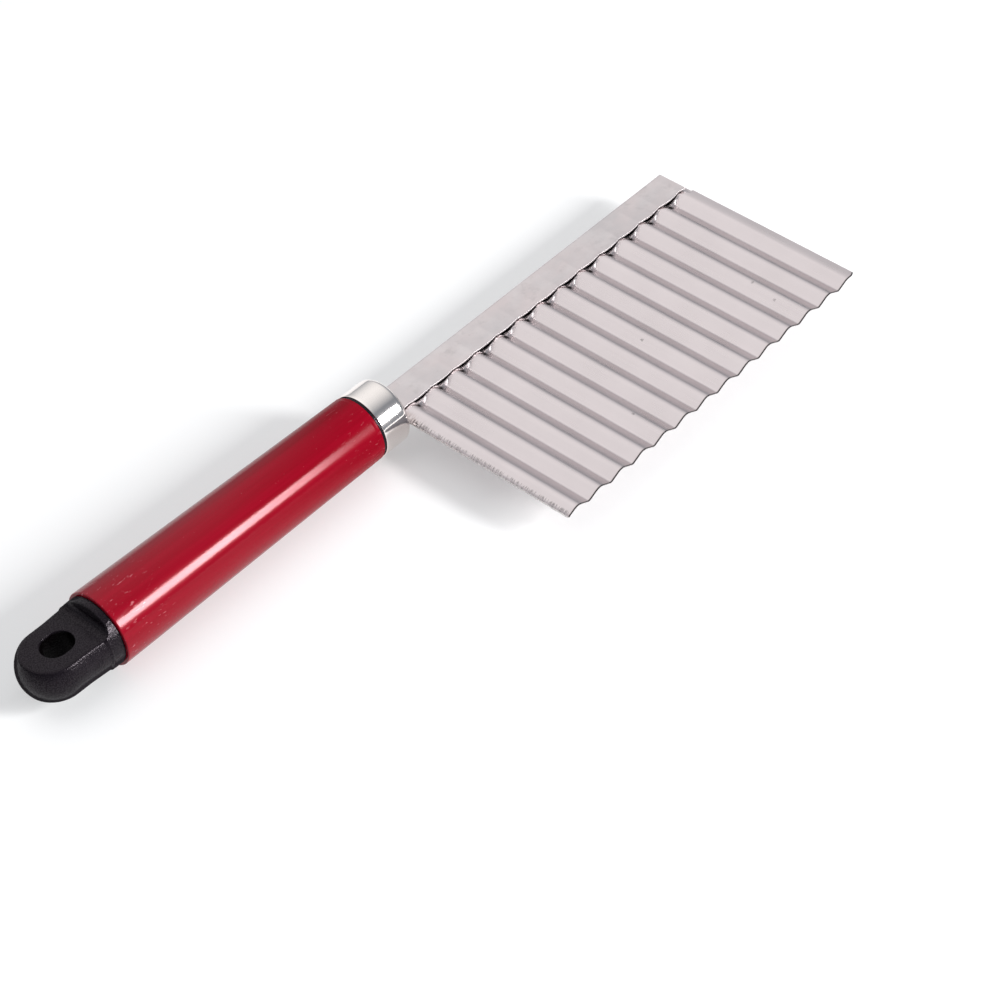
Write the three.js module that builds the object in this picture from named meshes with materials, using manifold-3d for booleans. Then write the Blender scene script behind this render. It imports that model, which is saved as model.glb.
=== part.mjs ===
// Crinkle cutter: a fluted steel blade hung from a folded spine channel, whose tang is pinned in the
// front plug of a sleeved tubular handle. Millimetres. +X runs from the handle to the blade's tip, the
// cutting edge is on -Y and +Z comes out of the blade's upper side.
import * as THREE from "three";
import { mergeVertices, toCreasedNormals } from "three/addons/utils/BufferGeometryUtils.js";
import Module from "manifold-3d";

const wasm = await Module();
wasm.setup();

// Blade sheet
const wavePitch = 9; // one flute
const waveHeight = 1.7; // valley to crest on the sheet's middle surface
const crestRounding = 1.4; // half width of a rounded crest
const valleyRounding = 0.5; // half width of a rounded valley
const sheetThickness = 0.6;
const sheetTrim = 0.85; // the first flute is sheared this far past its valley
const sheetLength = 123.6;
const bladeDepth = 62.3; // lip of the channel to the cutting edge, at the handle end
const edgeRise = 1.1; // the cutting edge is this much nearer the lip at the tip
const bevelWidth = 1.6; // ground bevel under the cutting edge
const edgeThickness = 0.2; // what the bevel leaves
const pressedHeight = 1.2; // valley to crest where the flutes are pressed flatter
const pressedLength = 4.2; // the flutes flatten over this length below the lip
const pressedLead = 0.8; // and are flat enough for the channel this far below it
const sheetSetback = 2.9; // the sheet stops this far short of the channel's fold

// Spine channel and its tang
const channelWidth = 10;
const channelWall = 0.7;
const bendRadius = 0.2; // inside of its two bends
const gripClearance = 0.1; // between a leaf and the pressed flutes
const channelInset = 1.25; // the channel stops this far short of the sheet's tip
const tangLength = 44; // behind the ferrule's face

// Ferrule
const ferruleLength = 9.9;
const ferruleWall = 0.7;
const ferruleBendRadius = 1.1; // inside of its front edge
const bladeGap = 0.45; // ferrule's face to the sheet
const slotClearance = 0.1; // around the channel

// Front plug
const flangeThickness = 0.8; // the black ring
const plugEndWall = 3; // behind the tang's slot
const plugClearance = 0.1; // in the ferrule and in the tube

// Lock pin
const pinDiameter = 3;
const pinInset = 12; // pin to the tang's end
const pinClearance = 0.1; // around the pin, and at its ends

// Grip
const gripLength = 97;
const gripFrontRadius = 10.1;
const gripRearRadius = 11.45;
const sleeveThickness = 0.5;
const sleeveClearance = 0.05;
const sleeveEdgeRadius = 0.35;
const tubeWall = 0.8;

// End cap
const capLength = 25.8; // behind the grip
const collarStep = 0.85; // the collar's radius is this much less than the grip's
const collarLength = 4.7;
const collarLand = 2.4; // full height of the collar before its scoops
const collarChamfer = 0.6; // at its rear edge
const scoopRadius = 2.8;
const tongueRadius = 10; // of its round sides and its ball end
const tongueThickness = 11.2; // between its two flats
const tongueEdgeRadius = 0.9; // between a flat and the round side
const eyeWidth = 8.1;
const eyeStraight = 1.7; // straight part of the eye's sides
const eyeInset = 12.5; // cap's end to the eye's middle
const spigotLength = 14;
const spigotWall = 2.2;

// Facets
const roundSegments = 48;
const pinSegments = 24;
const scoopSegments = 32;
const arcSegments = 5;
const bendSegments = 6;
const sideSegments = 10; // of the tongue's round side
const eyeSegments = 12;
const creaseAngle = 0.6; // sharper edges than this, in radians, are shaded as edges
const mergeDistance = 1e-4;
const overshoot = 1; // cutters run this far past what they cut

// Places along the handle, back from the ferrule's face
const flangeFront = -ferruleLength;
const gripFront = flangeFront - flangeThickness;
const gripRear = gripFront - gripLength;
const capEnd = gripRear - capLength;

// Places along the blade
const firstValley = bladeGap - sheetTrim;
const sheetTip = bladeGap + sheetLength;
const lip = -channelWidth / 2;
const sheetTop = channelWidth / 2 - channelWall - sheetSetback;

// Channel section
const channelGap = pressedHeight + sheetThickness + 2 * gripClearance;
const channelThickness = channelGap + 2 * channelWall;
const foldRadius = bendRadius + channelWall;

// Radii of the tapered handle at a place along it
function gripRadius(x) {
  const share = (gripFront - x) / gripLength;
  return gripFrontRadius + (gripRearRadius - gripFrontRadius) * share;
}
function tubeOuterRadius(x) {
  return gripRadius(x) - sleeveThickness - sleeveClearance;
}
function tubeInnerRadius(x) {
  return tubeOuterRadius(x) - tubeWall;
}

// A closed geometry as a solid, turned face out if its profile ran the other way.
function solidOf(geometry) {
  const bare = geometry.clone();
  bare.deleteAttribute("normal");
  bare.deleteAttribute("uv");
  const merged = mergeVertices(bare, mergeDistance);
  const place = merged.getAttribute("position");
  const index = merged.index.array;
  const corners = [new THREE.Vector3(), new THREE.Vector3(), new THREE.Vector3()];
  const triangles = [];
  let volume = 0;
  for (let i = 0; i < index.length; i += 3) {
    const [a, b, c] = [index[i], index[i + 1], index[i + 2]];
    if (a === b || b === c || c === a) continue;
    [a, b, c].forEach((corner, k) => corners[k].fromBufferAttribute(place, corner));
    volume += corners[0].dot(corners[1].cross(corners[2]));
    triangles.push(a, b, c);
  }
  if (volume < 0) triangles.reverse();
  return new wasm.Manifold(
    new wasm.Mesh({
      numProp: 3,
      vertProperties: new Float32Array(place.array),
      triVerts: new Uint32Array(triangles),
    }),
  );
}

function geometryOf(solid) {
  const mesh = solid.getMesh();
  const geometry = new THREE.BufferGeometry();
  geometry.setAttribute("position", new THREE.BufferAttribute(mesh.vertProperties, 3));
  geometry.setIndex(new THREE.BufferAttribute(mesh.triVerts, 1));
  return toCreasedNormals(geometry, creaseAngle);
}

// A profile of [radius, x] points turned about the handle's axis.
function turned(profile) {
  const points = profile.map(([radius, x]) => new THREE.Vector2(radius, x));
  const geometry = new THREE.LatheGeometry(points, roundSegments);
  return solidOf(geometry.rotateZ(-Math.PI / 2));
}

// Points of an arc in a [radius, x] profile, ends included, angles from the radius direction to +X.
function arc(radius, x, size, from, to, steps = arcSegments) {
  const points = [];
  for (let i = 0; i <= steps; i++) {
    const angle = from + ((to - from) * i) / steps;
    points.push([radius + size * Math.cos(angle), x + size * Math.sin(angle)]);
  }
  return points;
}

// A section in y and z, drawn out from one place along the handle to another.
function drawnOut(section, rear, front) {
  const geometry = new THREE.ExtrudeGeometry(section, {
    depth: front - rear,
    bevelEnabled: false,
    curveSegments: bendSegments,
  });
  const along = new THREE.Matrix4().makeBasis(
    new THREE.Vector3(0, 1, 0),
    new THREE.Vector3(0, 0, 1),
    new THREE.Vector3(1, 0, 0),
  );
  return solidOf(geometry.applyMatrix4(along).translate(rear, 0, 0));
}

function boxBetween(low, high) {
  const size = high.map((value, i) => value - low[i]);
  const middle = high.map((value, i) => (value + low[i]) / 2);
  return solidOf(new THREE.BoxGeometry(...size).translate(...middle));
}

function uprightCylinder(radius, height, x) {
  const geometry = new THREE.CylinderGeometry(radius, radius, height, pinSegments);
  return solidOf(geometry.rotateX(Math.PI / 2).translate(x, 0, 0));
}

// Height of the sheet's middle surface along the blade, about zero.
function waveAt(x) {
  const half = wavePitch / 2;
  const along = (((x - firstValley) % wavePitch) + wavePitch) % wavePitch;
  const fromValley = Math.min(along, wavePitch - along);
  const fromCrest = half - fromValley;
  const slope = (2 * waveHeight) / (wavePitch - crestRounding - valleyRounding);
  const lowest = (slope * valleyRounding) / 2;
  let height = slope * fromValley;
  if (fromValley < valleyRounding) {
    height = (slope * (fromValley ** 2 + valleyRounding ** 2)) / (2 * valleyRounding);
  }
  if (fromCrest < crestRounding) {
    height = slope * half - (slope * (fromCrest ** 2 + crestRounding ** 2)) / (2 * crestRounding);
  }
  return height - lowest - waveHeight / 2;
}

// Places along the blade where the sheet bends, from its sheared edge to its tip.
function waveStations() {
  const bends = [-1, -0.5, 0, 0.5, 1];
  const places = [];
  for (let valley = firstValley; valley < sheetTip + wavePitch; valley += wavePitch) {
    bends.forEach((bend) => places.push(valley + bend * valleyRounding));
    bends.forEach((bend) => places.push(valley + wavePitch / 2 + bend * crestRounding));
  }
  const least = valleyRounding / 4;
  const inner = places.filter((x) => x > bladeGap + least && x < sheetTip - least);
  return [bladeGap, ...inner, sheetTip];
}

// The fluted sheet: an upper and a lower surface over the same stations, closed round the rim.
function corrugatedBlade() {
  const stations = waveStations();
  const pressed = pressedHeight / waveHeight;
  const edgeAt = (x) => lip - bladeDepth + (edgeRise * (x - bladeGap)) / (sheetTip - bladeGap);
  const pressedMiddle = (pressedLength + pressedLead) / 2;
  const rows = [
    { y: (x) => edgeAt(x), flute: 1, thickness: edgeThickness },
    { y: (x) => edgeAt(x) + bevelWidth, flute: 1, thickness: sheetThickness },
    { y: () => lip - pressedLength, flute: 1, thickness: sheetThickness },
    { y: () => lip - pressedMiddle, flute: (1 + pressed) / 2, thickness: sheetThickness },
    { y: () => lip - pressedLead, flute: pressed, thickness: sheetThickness },
    { y: () => sheetTop, flute: pressed, thickness: sheetThickness },
  ];
  const points = [];
  for (const side of ["upper", "lower"]) {
    for (const x of stations) {
      for (const row of rows) {
        const top = waveAt(x) * row.flute + sheetThickness / 2;
        points.push(x, row.y(x), side === "upper" ? top : top - row.thickness);
      }
    }
  }
  const lastX = stations.length - 1;
  const lastY = rows.length - 1;
  const upper = (i, j) => i * rows.length + j;
  const lower = (i, j) => stations.length * rows.length + upper(i, j);
  const triangles = [];
  const quad = (a, b, c, d) => triangles.push(a, b, c, a, c, d);
  for (let i = 0; i < lastX; i++) {
    for (let j = 0; j < lastY; j++) {
      quad(upper(i, j), upper(i + 1, j), upper(i + 1, j + 1), upper(i, j + 1));
      quad(lower(i, j + 1), lower(i + 1, j + 1), lower(i + 1, j), lower(i, j));
    }
    quad(lower(i, 0), lower(i + 1, 0), upper(i + 1, 0), upper(i, 0));
    quad(upper(i, lastY), upper(i + 1, lastY), lower(i + 1, lastY), lower(i, lastY));
  }
  for (let j = 0; j < lastY; j++) {
    quad(lower(0, j + 1), lower(0, j), upper(0, j), upper(0, j + 1));
    quad(upper(lastX, j + 1), upper(lastX, j), lower(lastX, j), lower(lastX, j + 1));
  }
  const geometry = new THREE.BufferGeometry();
  geometry.setAttribute("position", new THREE.Float32BufferAttribute(points, 3));
  geometry.setIndex(triangles);
  return solidOf(geometry);
}

// The strip folded into a U, open towards the cutting edge, with the pin's hole in its tang.
function spineChannel() {
  const outer = channelThickness / 2;
  const inner = channelGap / 2;
  const back = channelWidth / 2;
  const bend = back - foldRadius;
  const section = new THREE.Shape();
  section.moveTo(lip, outer);
  section.lineTo(lip, inner);
  section.absarc(bend, inner - bendRadius, bendRadius, Math.PI / 2, 0, true);
  section.absarc(bend, bendRadius - inner, bendRadius, 0, -Math.PI / 2, true);
  section.lineTo(lip, -inner);
  section.lineTo(lip, -outer);
  section.absarc(bend, foldRadius - outer, foldRadius, -Math.PI / 2, 0, false);
  section.absarc(bend, outer - foldRadius, foldRadius, 0, Math.PI / 2, false);
  section.closePath();
  const strip = drawnOut(section, -tangLength, sheetTip - channelInset);
  const hole = uprightCylinder(pinDiameter / 2 + pinClearance, channelThickness + 2 * overshoot, pinPlace());
  return strip.subtract(hole);
}

function pinPlace() {
  return -tangLength + pinInset;
}

// A cutter for the channel's slot, from in front of the ferrule's face back to a place along the handle.
function channelSlot(back) {
  const halfWidth = channelWidth / 2 + slotClearance;
  const halfHeight = channelThickness / 2 + slotClearance;
  return boxBetween([back, -halfWidth, -halfHeight], [overshoot, halfWidth, halfHeight]);
}

function ferrule() {
  const inner = gripFrontRadius - ferruleWall;
  const edge = ferruleBendRadius;
  const outerEdge = edge + ferruleWall;
  const cup = turned([
    [0, -ferruleWall],
    ...arc(inner - edge, -ferruleWall - edge, edge, Math.PI / 2, 0),
    [inner, -ferruleLength],
    [gripFrontRadius, -ferruleLength],
    ...arc(gripFrontRadius - outerEdge, -outerEdge, outerEdge, 0, Math.PI / 2),
    [0, 0],
  ]);
  return cup.subtract(channelSlot(-ferruleWall - overshoot));
}

// Nose in the ferrule, flange as the black ring, tapered shank in the tube.
function frontPlug() {
  const noseFront = -ferruleWall - plugClearance;
  const nose = gripFrontRadius - ferruleWall - plugClearance;
  const edge = ferruleBendRadius;
  const plugEnd = -tangLength - slotClearance - plugEndWall;
  const blank = turned([
    [0, noseFront],
    ...arc(nose - edge, noseFront - edge, edge, Math.PI / 2, 0),
    [nose, flangeFront],
    [gripFrontRadius, flangeFront],
    [gripFrontRadius, gripFront],
    [tubeInnerRadius(gripFront) - plugClearance, gripFront],
    [tubeInnerRadius(plugEnd) - plugClearance, plugEnd],
    [0, plugEnd],
  ]);
  const hole = uprightCylinder(pinDiameter / 2 + pinClearance, 4 * gripFrontRadius, pinPlace());
  return blank.subtract(channelSlot(-tangLength - slotClearance)).subtract(hole);
}

function lockPin() {
  const reach = Math.sqrt(tubeInnerRadius(pinPlace()) ** 2 - (pinDiameter / 2) ** 2) - 2 * pinClearance;
  return uprightCylinder(pinDiameter / 2, 2 * reach, pinPlace());
}

function handleTube() {
  const front = gripFront - sleeveThickness - sleeveClearance;
  const rear = gripRear + sleeveThickness + sleeveClearance;
  return turned([
    [tubeInnerRadius(front), front],
    [tubeOuterRadius(front), front],
    [tubeOuterRadius(rear), rear],
    [tubeInnerRadius(rear), rear],
    [tubeInnerRadius(front), front],
  ]);
}

// The red sleeve, turned in over both ends of the tube.
function gripSleeve() {
  const edge = sleeveEdgeRadius;
  const frontSeat = gripFront - sleeveThickness;
  const rearSeat = gripRear + sleeveThickness;
  const inside = (x) => gripRadius(x) - sleeveThickness;
  return turned([
    [tubeInnerRadius(gripFront), gripFront],
    ...arc(gripRadius(gripFront - edge) - edge, gripFront - edge, edge, Math.PI / 2, 0),
    ...arc(gripRadius(gripRear + edge) - edge, gripRear + edge, edge, 0, -Math.PI / 2),
    [tubeInnerRadius(gripRear), gripRear],
    [tubeInnerRadius(gripRear), rearSeat],
    [inside(rearSeat), rearSeat],
    [inside(frontSeat), frontSeat],
    [tubeInnerRadius(gripFront), frontSeat],
    [tubeInnerRadius(gripFront), gripFront],
  ]);
}

// Two straight sides joined by round ends, about a middle along the handle.
function roundedSlot(x, straight, width) {
  const path = new THREE.Shape();
  path.absarc(x + straight / 2, 0, width / 2, -Math.PI / 2, Math.PI / 2, false);
  path.absarc(x - straight / 2, 0, width / 2, Math.PI / 2, (3 * Math.PI) / 2, false);
  path.closePath();
  return path;
}

// Half of the tongue's section as [radius, height] points: rounded edge, round side, rounded edge.
function tongueSide() {
  const face = tongueThickness / 2;
  const edgeHeight = face - tongueEdgeRadius;
  const edgeMiddle = Math.sqrt((tongueRadius - tongueEdgeRadius) ** 2 - edgeHeight ** 2);
  const lean = Math.atan2(edgeHeight, edgeMiddle);
  return [
    ...arc(edgeMiddle, -edgeHeight, tongueEdgeRadius, -Math.PI / 2, -lean),
    ...arc(0, 0, tongueRadius, -lean, lean, sideSegments).slice(1),
    ...arc(edgeMiddle, edgeHeight, tongueEdgeRadius, lean, Math.PI / 2).slice(1),
  ];
}

// A round bar with two flats and a ball end.
function tongue() {
  const face = tongueThickness / 2;
  const right = tongueSide();
  const left = right.map(([radius, height]) => [-radius, height]).reverse();
  const section = new THREE.Shape([...right, ...left].map((point) => new THREE.Vector2(...point)));
  const ballMiddle = capEnd + tongueRadius;
  const profile = [[0, -face], ...right, [0, face]].map((point) => new THREE.Vector2(...point));
  const ball = new THREE.LatheGeometry(profile, roundSegments).rotateX(Math.PI / 2);
  return drawnOut(section, ballMiddle, gripRear - collarLand).add(solidOf(ball.translate(ballMiddle, 0, 0)));
}

// A cutter that hollows the collar's rear above the tongue's upper flat.
function collarScoop(collarRadius) {
  const face = tongueThickness / 2;
  const front = gripRear - collarLand;
  const middle = front - scoopRadius;
  const rear = Math.min(gripRear - collarLength, middle) - overshoot;
  const above = Math.max(collarRadius, face + scoopRadius) + overshoot;
  const reach = 2 * collarRadius;
  const round = new THREE.CylinderGeometry(scoopRadius, scoopRadius, 2 * reach, scoopSegments);
  const wall = boxBetween([rear, -reach, face + scoopRadius], [front, reach, above]);
  const behind = boxBetween([rear, -reach, face], [middle, reach, above]);
  return solidOf(round.translate(middle, 0, face + scoopRadius)).add(wall).add(behind);
}

// Spigot in the tube, scooped collar, flat tongue with the eye.
function endCap() {
  const collarRadius = gripRearRadius - collarStep;
  const collarEnd = gripRear - collarLength;
  const spigotFront = gripRear + spigotLength;
  const spigotRadius = (x) => tubeInnerRadius(x) - plugClearance;
  const collar = turned([
    [0, gripRear],
    [spigotRadius(gripRear) - spigotWall, gripRear],
    [spigotRadius(spigotFront) - spigotWall, spigotFront],
    [spigotRadius(spigotFront), spigotFront],
    [spigotRadius(gripRear), gripRear],
    [collarRadius, gripRear],
    [collarRadius, collarEnd + collarChamfer],
    [collarRadius - collarChamfer, collarEnd],
    [0, collarEnd],
  ]);
  const scoop = collarScoop(collarRadius);
  const eyePath = roundedSlot(capEnd + eyeInset, eyeStraight, eyeWidth);
  const eyeDepth = tongueThickness + 2 * overshoot;
  const eye = new THREE.ExtrudeGeometry(eyePath, {
    depth: eyeDepth,
    bevelEnabled: false,
    curveSegments: eyeSegments,
  }).translate(0, 0, -eyeDepth / 2);
  return collar
    .subtract(scoop)
    .subtract(scoop.mirror([0, 0, 1]))
    .add(tongue())
    .subtract(solidOf(eye));
}

const brightSteel = { color: 0xd6d2d2, roughness: 0.32, metalness: 1 };
const polishedSteel = { color: 0xdadbdd, roughness: 0.08, metalness: 1 };
const plainSteel = { color: 0x9a9ca0, roughness: 0.45, metalness: 1 };
const redSleeve = { color: 0x9c1026, roughness: 0.16, metalness: 0 };
const blackPlastic = { color: 0x26252a, roughness: 0.55, metalness: 0 };

const pieces = [
  ["corrugated_blade", corrugatedBlade(), brightSteel],
  ["spine_channel", spineChannel(), brightSteel],
  ["ferrule", ferrule(), polishedSteel],
  ["front_plug", frontPlug(), blackPlastic],
  ["lock_pin", lockPin(), plainSteel],
  ["handle_tube", handleTube(), plainSteel],
  ["grip_sleeve", gripSleeve(), redSleeve],
  ["end_cap", endCap(), blackPlastic],
];

// The tool lies with its blade level, its lowest line on z = 0 and the middle of its box on the origin.
const tool = new THREE.Group();
const widest = gripRadius(gripRear + sleeveEdgeRadius);
tool.position.set(-(sheetTip + capEnd) / 2, -(widest + lip - bladeDepth) / 2, widest);
for (const [name, solid, finish] of pieces) {
  const mesh = new THREE.Mesh(geometryOf(solid), new THREE.MeshStandardMaterial(finish));
  mesh.name = name;
  tool.add(mesh);
}

const cutter = new THREE.Group();
cutter.add(tool);

export default cutter;
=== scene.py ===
"""Looks of the crinkle cutter: finer pieces, materials, floor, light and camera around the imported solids.

Shapes are drawn in millimetres in the tool's own frame: x = 0 at the ferrule's face, on the handle's axis,
+X towards the blade's tip, the cutting edge on -Y and +Z out of the blade's upper side.
"""
import math

import bmesh
import bpy
import numpy as np
from mathutils import Matrix, Vector


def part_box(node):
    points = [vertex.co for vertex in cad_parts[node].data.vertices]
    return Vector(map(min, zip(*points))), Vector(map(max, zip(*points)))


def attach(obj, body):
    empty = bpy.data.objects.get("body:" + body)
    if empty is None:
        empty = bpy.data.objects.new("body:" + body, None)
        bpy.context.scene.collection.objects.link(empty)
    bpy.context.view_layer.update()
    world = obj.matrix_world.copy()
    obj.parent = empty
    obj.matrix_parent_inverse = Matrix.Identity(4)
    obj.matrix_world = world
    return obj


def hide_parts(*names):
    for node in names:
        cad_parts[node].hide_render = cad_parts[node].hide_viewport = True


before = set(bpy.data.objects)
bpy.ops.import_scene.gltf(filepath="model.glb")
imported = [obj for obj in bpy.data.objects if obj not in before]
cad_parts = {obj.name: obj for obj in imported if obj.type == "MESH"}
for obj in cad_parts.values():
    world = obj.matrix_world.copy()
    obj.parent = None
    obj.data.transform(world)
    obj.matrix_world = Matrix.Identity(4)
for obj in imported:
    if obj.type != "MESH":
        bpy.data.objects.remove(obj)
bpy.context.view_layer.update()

MM = 0.001

# Shares of a ripple's wavelength between which its waves are drawn
RIPPLE_SPREAD = (0.7, 1.6)

# Blade sheet
WAVE_PITCH = 9.0
WAVE_HEIGHT = 1.7
CREST_ROUNDING = 1.4
VALLEY_ROUNDING = 0.55
SHEET_TRIM = 0.85
SHEET_THICKNESS = 0.6
EDGE_RISE = 1.1
BEVEL_WIDTH = 1.6
EDGE_THICKNESS = 0.2
EDGE_LINE = 0.28
FAR_FALL = 0.2
CORNER_RISE = 0.8
CORNER_LENGTH = 2.0
STATIONS_PER_FLUTE = 30
VALLEY_STATIONS = (-1.0, -0.5, 0.5, 1.0)
NEAR_STATIONS = (0.0, 0.4, 0.8, 1.2)
STATION_GAP = 0.1
STATION_DIGITS = 4
HELD_ROWS = 6
PRESSED_ROW_STEP = 0.15
PRESSED_ROWS_END = 5.0
MIDDLE_ROWS = 47
BEVEL_ROWS = (1.2, 0.8)
SHEET_CREASE = 40

# Pressed ends of the flutes: distances past a crest and below the lip
PRESSED_CREST = 0.78
PRESSED_PLACES = (0.0, 1.2, 1.9, 2.7, 3.8, 6.0, 7.4, 8.2, 9.0)
PRESSED_SHARES = (1.0, 0.95, 0.8, 0.3, 0.06, 0.0, 0.35, 0.75, 1.0)
PRESSED_STATIONS = (0.0, 35.0, 120.0)
PRESSED_HEIGHTS = (0.5, 0.75, 0.82)
PRESSED_LEAN = 1.1
TUCK_PLACES = (-4.5, -3.0, -1.5, 0.0, 2.0, 4.5)
TUCK_DEPTHS = (1.3, 0.7, 0.5, 0.5, 2.1, 1.3)
TUCK_SLOPES = (0.55, 0.3, 0.3, 0.45, 0.6, 0.55)
# Painted dark reflection: a brown wedge from the lip down the far side of each pressed crest, and a painted
# dark spot at its end
WEDGE_START = (0.1, 0.2)
WEDGE_END = (1.9, 2.0)
WEDGE_WIDTHS = (0.2, 0.45)
SPOT_SIZE = (0.7, 0.6)
SPOT_SHARES = (0.8, 2.0)
PRESSED_REACH = 2.6

# Painted shade under the lip: how far it shows below the lip in a valley and stays back on a crest, its blur
# and its end, and the slack that takes in the rows of the cutting edge, where a dark reflection is painted
SHADE_SHOWN = 0.12
SHADE_HELD = 0.8
SHADE_BLUR = 0.25
SHADE_INSET = 0.3
EDGE_SLACK = 1.01

# Dents and the sheared near edge, each RIPPLE with its wavelength and its seed
DENT_HEIGHT = 0.012
DENT_RIPPLE = (14, 3)
CRUMPLE_HEIGHT = 0.1
CRUMPLE_REACH = (2.5, 5.0)
CRUMPLE_RIPPLE = (1.8, 8)
BURR_HEIGHT = 0.1
BURR_WIDTH = 0.7
BURR_RIPPLE = (2.2, 5)
ROLL_DROP = 0.25
ROLL_WIDTH = 0.35
TORN_LINES = ((0.0, 0.22, 0.9), (0.75, 0.28, 0.9))
TORN_CORNER = (1.3, 4.5, 4.5)

# Spine channel
CHANNEL_WALL = 0.5
FOLD_RADIUS = 0.9
INNER_FOLD_RADIUS = 0.2
LIP_ROUNDING = 0.1
STRIP_LEAN = 0.009
STRIP_PIVOT = 8.0
LIP_SAG = (0.28, 0.47)
LEAF_BULGE = 0.05
LEAF_HEIGHT = 0.012
LEAF_RIPPLE = (18, 11)
LIP_REACH = 0.5
INSIDE_MARGIN = 0.01
LEAF_POINTS = 12
STRIP_CREASE = 45
FREE_LENGTH = 4.0
TANG_FRONT = -2.0
TANG_STATIONS = 12
SLOT_CLEARANCE = 0.1
SLOT_FRONT = 2.0
SLOT_OVERRUN = 1.0

# Ferrule and plug
FERRULE_WALL = 0.7
FERRULE_EDGE = 1.8
FERRULE_REAR_EDGE = 0.15
FLANGE_THICKNESS = 0.8
FLANGE_EDGE = 0.12
FLANGE_RECESS = 0.2
NOSE_CHAMFER = 1.1
PLUG_CLEARANCE = 0.1
CORE_RADIUS = 0.5
FACE_RINGS = 6
WALL_RINGS = 10
TURN_SEGMENTS = 128
TURN_CREASE = 35

# Grip sleeve
SLEEVE_THICKNESS = 0.5
SLEEVE_EDGE = 0.35
FILM_STEP = 0.12
FILM_TURN = 1.2
FILM_TURN_BLUR = 0.2
FILM_SEGMENTS = 224
FILM_CREASE = 40
FILM_FINE_LENGTHS = (14.0, 6.0)
FILM_STEPS = (0.3, 1.5)
TUBE_WALL = 0.8
TUBE_GAP = 0.05

# Short folds in the film near its rear end
WRINKLE_COUNT = 26
WRINKLE_SEED = 21
WRINKLE_PLACES = (1.5, 11.0)
WRINKLE_SLANTS = (-0.9, 0.9)
WRINKLE_LENGTHS = (0.8, 2.2)
WRINKLE_DEPTHS = (0.02, 0.045)
WRINKLE_WIDTH = 0.28
WRINKLE_RADIUS = 11.0

# End cap
COLLAR_LENGTH = 4.7
CAP_TONGUE = 11.2
CAP_WELD = 0.001
CAP_VOXEL = 0.2
CAP_SMOOTHING = 6
CAP_SMOOTHING_SHARE = 0.5
CAP_CREASE = 60
CAP_FLARE = 0.4
CAP_FLARE_LENGTH = 7.0
CAP_FLARE_FADE = 1.0
# Eye of the cap, whose bore gets painted shade: its inset from the cap's end, its reach, the rim left out and
# the depth over which the shade comes in
EYE_INSET = 12.5
EYE_REACH = (5.3, 4.45)
EYE_RIM = 0.35
EYE_DEPTH = 0.4

# Tones of the materials, the darker one of a pair first
SHEET_TONES = ((0.655, 0.594, 0.6, 1), (0.715, 0.648, 0.654, 1))
SHEARED_TONES = ((0.5, 0.48, 0.48, 1), (0.78, 0.75, 0.74, 1))
PIT_TONE = (0.28, 0.26, 0.26, 1)
# Painted dark reflection in the wedges
WEDGE_REFLECTION_TONE = (0.1, 0.055, 0.055, 1)
# One near-black tone for the tears and for painted shade and dark reflections
TEAR_AND_SHADE_TONE = (0.025, 0.02, 0.02, 1)
STRIP_TONES = ((0.63, 0.59, 0.595, 1), (0.71, 0.635, 0.635, 1))
STRIP_PALE_TONE = (0.76, 0.71, 0.71, 1)
STRIP_WORN_TONE = (0.52, 0.48, 0.48, 1)
POLISHED_TONES = ((0.88, 0.82, 0.785, 1), (0.94, 0.885, 0.855, 1))
PLAIN_TONES = ((0.42, 0.42, 0.43, 1), (0.58, 0.58, 0.6, 1))
RED_TONES = ((0.22, 0.0012, 0.009, 1), (0.28, 0.0025, 0.014, 1))
RED_SCUFF_TONE = (0.62, 0.2, 0.23, 1)
RED_SHINE = (1.0, 0.6, 0.64, 1)
BLACK_TONES = ((0.0045, 0.003, 0.0045, 1), (0.0075, 0.0055, 0.008, 1))
# Painted shade in the eye's bore
BORE_SHADE_TONE = (0.001, 0.0005, 0.0007, 1)
BLACK_SHINE = (1.0, 0.88, 0.97, 1)

# Pits in the sheet: cells in a metre, and the share above which a cell keeps its pit
PIT_CELLS = 110.0
PIT_KEPT = 0.9

# Where the film is rubbed, duller or less glossy: distances from its rear or its front end
RUBBED_REAR = (8.0, 20.0)
RUBBED_FRONT = (16.0, 5.0)
DULL_FRONT = (25.0, 4.0)
SHINE_FRONT = (55.0, 8.0)

# Grains of the black plastics in a metre, and how much finer the speckle of their gloss is
RING_GRAIN = 3000.0
CAP_GRAIN = 2400.0
SPECKLE_GRAIN = 1.3

# Where the plastics lose their gloss: spans from facing the viewer, at 0, to edge-on, at 1
RED_EDGE_ON = (0.55, 0.95)
BLACK_EDGE_ON = (0.5, 0.66)

# Stage, in metres, with the lamps' target in the tool's frame
FLOOR_REACH = 4.0
FLOOR_ROUGHNESS = 0.9
FLOOR_COLOUR = 0.72
FLOOR_LIFT = 0.28
DOME_COLOUR = (0.25, 0.27, 0.3)
PANEL_LEVEL = 1.08
PANEL_WAY = (0.06, 0.53, 0.845)
PANEL_EDGE = (0.42, 0.95)
LAMP_TARGET = (-40.0, 0.0, 0.0)
KEY_WAY = (0.415, -0.793, 0.445)
KEY_DISTANCE = 1.6
KEY_SIZE = (0.36, 0.5)
KEY_RADIANCE = 54.0
GLINT_WAY = (0.66, -0.55, 0.5)
GLINT_RADIANCE = 8.0

# View of the photograph, in degrees and millimetres
CAMERA_AZIMUTH = 45.802
CAMERA_ELEVATION = 44.576
CAMERA_ROLL = -4.726
CAMERA_DISTANCE = 860.011
CAMERA_TARGET = (-6.7, -49.048, 0.0)
CAMERA_LENS = 115.894
CAMERA_SENSOR = 36.0


# Places

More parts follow.
